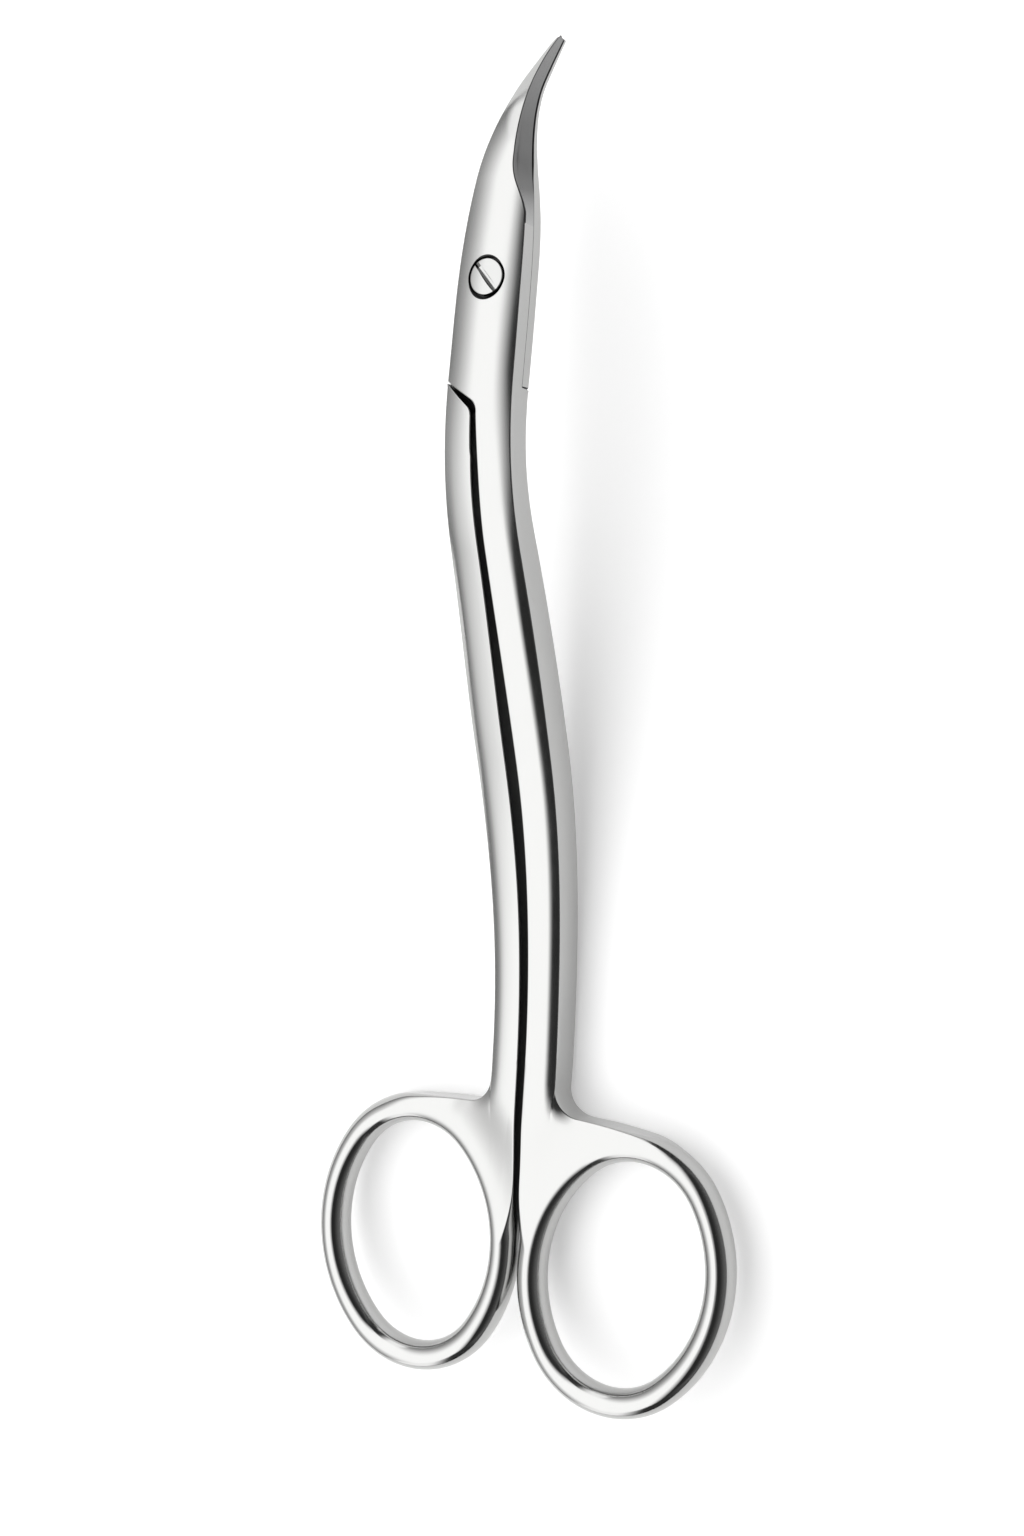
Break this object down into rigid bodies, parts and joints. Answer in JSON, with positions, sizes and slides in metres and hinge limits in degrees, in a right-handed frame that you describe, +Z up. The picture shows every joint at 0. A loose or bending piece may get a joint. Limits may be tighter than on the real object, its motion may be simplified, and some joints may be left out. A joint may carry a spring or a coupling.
{
  "type": "surgical scissors",
  "caption": "Double-curved surgical scissors in polished stainless steel, with a screw lap joint, short curved bevelled blades and oval finger rings",
  "frame": {"origin": "middle of the bounding box at its foot, where the closed scissors rest on a table", "axes": "+X to the ring of the upper half, +Y from the finger rings to the blade tips, +Z up from the table"},
  "size_m": [0.061, 0.1728, 0.0243],
  "materials": {
    "polished_steel": "mirror polished stainless steel",
    "screw_steel": "ground and polished stainless steel"
  },
  "bodies": {
    "fixed": {"lower_half": "polished_steel", "pivot_screw": "screw_steel"},
    "moving": {"upper_half": "polished_steel"}
  },
  "joints": [
    {"name": "scissor_pivot", "type": "hinge", "parent": "fixed", "child": "moving", "pos_m": [0, 0.05588, 0.01917], "axis": [0, 0.1286, 0.9917], "range_deg": [0, 60]}
  ]
}
